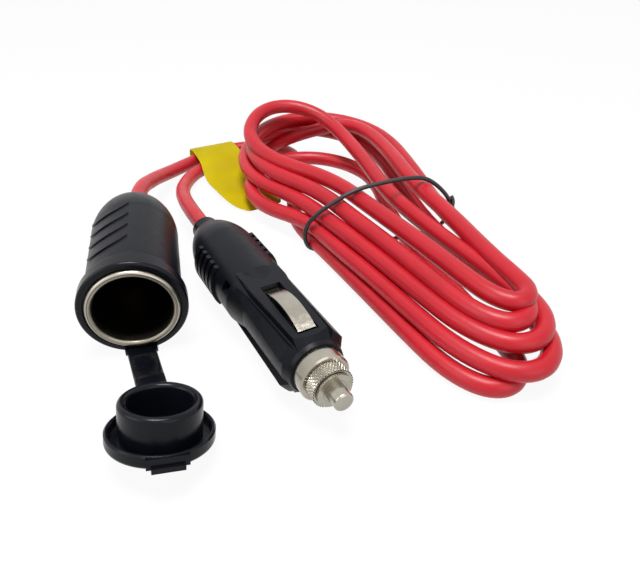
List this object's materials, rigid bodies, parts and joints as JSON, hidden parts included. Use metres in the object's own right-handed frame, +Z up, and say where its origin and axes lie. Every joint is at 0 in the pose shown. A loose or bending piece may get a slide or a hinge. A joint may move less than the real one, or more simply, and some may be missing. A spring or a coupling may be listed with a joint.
{
  "type": "cigarette lighter extension cord",
  "caption": "Vehicle lighter socket with tethered dust cap, sprung plug at the far end and a red cord wound into a tied hank.",
  "frame": {"origin": "centre of the socket's mouth", "axes": "-Y out of the socket's mouth, +Z up, +X to the right seen from the front"},
  "size_m": [0.1271, 0.1883, 0.0295],
  "materials": {
    "black_plastic": "satin",
    "black_rubber": "semi-gloss",
    "nickel": "plated",
    "brass": "plain",
    "insulator": "matt",
    "fuse_glass": "clear",
    "spring_steel": "plain",
    "red_pvc": "satin",
    "tie_black": "matt",
    "label_yellow": "satin"
  },
  "bodies": {
    "root": {"socket_housing": "black_plastic", "socket_barrel": "nickel", "barrel_insulator": "insulator", "centre_contact": "brass", "positive_tag": "brass", "ground_lug": "brass", "cap_ring": "black_rubber", "plug_shell_upper": "black_plastic", "plug_shell_lower": "black_plastic", "tip_spring": "spring_steel", "spring_terminal": "brass", "cord_grommet": "black_rubber", "cord_socket_run": "red_pvc", "cord_plug_run": "red_pvc", "cord_hank": "red_pvc", "hank_tie": "tie_black", "cord_label": "label_yellow"},
    "strap": {"cap_strap": "black_rubber"},
    "cap": {"dust_cap": "black_rubber"},
    "tip": {"plug_tip": "nickel", "fuse_glass": "fuse_glass", "fuse_cap_front": "nickel", "fuse_cap_rear": "nickel"},
    "nose": {"nose_nut": "nickel"},
    "upper_contact": {"contact_upper": "nickel"},
    "lower_contact": {"contact_lower": "nickel"}
  },
  "joints": [
    {"name": "cap_press", "type": "slide", "parent": "root", "child": "strap", "axis": [0, 1, 0], "range_m": [0, 0.023], "stiffness_N_per_m": 15, "deforming": ["cap_strap"]},
    {"name": "cap_swing", "type": "hinge", "parent": "strap", "child": "cap", "pos_m": [-0.00043, -0.0273, -0.01239], "axis": [0.9337, 0.3398, 0.1132], "range_deg": [-78.5, 80], "stiffness_Nm_per_rad": 0.01, "deforming": ["cap_strap"]},
    {"name": "tip_press", "type": "slide", "parent": "root", "child": "tip", "axis": [-0.2723, 0.9622, 0], "range_m": [0, 0.003], "stiffness_N_per_m": 800, "deforming": ["tip_spring"]},
    {"name": "nose_turn", "type": "hinge", "parent": "root", "child": "nose", "pos_m": [0.04443, -0.0317, -0.0039], "axis": [0.2723, -0.9622, 0], "continuous": true},
    {"name": "upper_contact_press", "type": "hinge", "parent": "root", "child": "upper_contact", "pos_m": [0.03691, -0.00515, 0.0031], "axis": [0.9622, 0.2723, 0], "range_deg": [0, 4], "stiffness_Nm_per_rad": 0.5},
    {"name": "lower_contact_press", "type": "hinge", "parent": "root", "child": "lower_contact", "pos_m": [0.03691, -0.00515, -0.0109], "axis": [-0.9622, -0.2723, 0], "range_deg": [0, 4], "stiffness_Nm_per_rad": 0.5}
  ]
}
